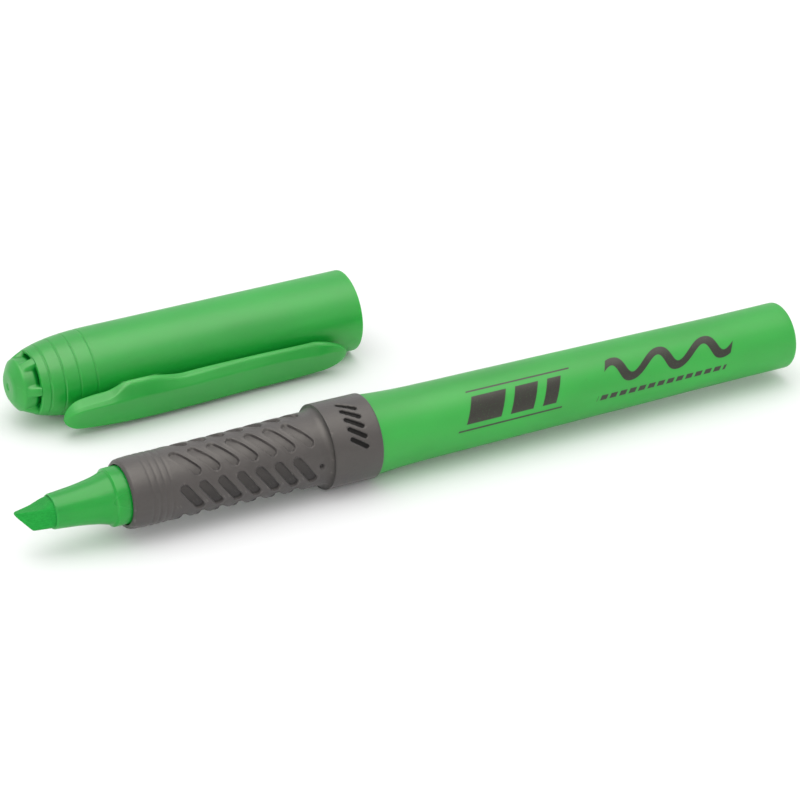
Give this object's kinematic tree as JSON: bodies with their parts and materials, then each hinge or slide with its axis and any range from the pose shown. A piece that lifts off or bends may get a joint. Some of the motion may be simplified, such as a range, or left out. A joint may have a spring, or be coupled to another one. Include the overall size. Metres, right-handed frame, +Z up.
{
  "type": "highlighter",
  "caption": "Uncapped grip highlighter with a chisel nib, a slotted rubber sleeve and a vented clip cap lying beside it; the cap slides on to close it.",
  "frame": {"origin": "on the pen's axis, in the front face of the collar, where the mouth of the cap stops", "axes": "+X along the pen from the nib to the rear end, +Y towards the cap that lies beside it, +Z up from the table"},
  "size_m": [0.131, 0.0529, 0.0132],
  "materials": {
    "barrel_green": "satin polypropylene",
    "cap_green": "satin polypropylene",
    "nose_green": "glossy polypropylene",
    "nib_felt": "ink-soaked bonded felt",
    "grip_rubber": "soft matt rubber",
    "fibre": "ink-soaked fibre",
    "clear_film": "thin wrap film",
    "tube_white": "drawn tube"
  },
  "bodies": {
    "pen": {"chisel_nib": "nib_felt", "nose_section": "nose_green", "grip_sleeve": "grip_rubber", "barrel": "barrel_green", "rear_plug": "barrel_green", "ink_reservoir": "fibre", "reservoir_film": "clear_film"},
    "air_tube": {"breather_tube": "tube_white"},
    "cap": {"cap_shell": "cap_green", "inner_cap": "cap_green"},
    "clip": {"cap_clip": "cap_green"}
  },
  "joints": [
    {"name": "cap_push", "type": "slide", "parent": "pen", "child": "air_tube", "axis": [1, 0, 0], "range_m": [0, 0.0772]},
    {"name": "cap_aside", "type": "slide", "parent": "air_tube", "child": "cap", "axis": [-0.9325, -0.361, 0], "range_m": [0, 0.11024]},
    {"name": "clip_flex", "type": "hinge", "parent": "cap", "child": "clip", "pos_m": [-0.017, 0.03214, -0.00279], "axis": [0, 0.342, -0.9397], "range_deg": [0, 4], "stiffness_Nm_per_rad": 0.6}
  ]
}
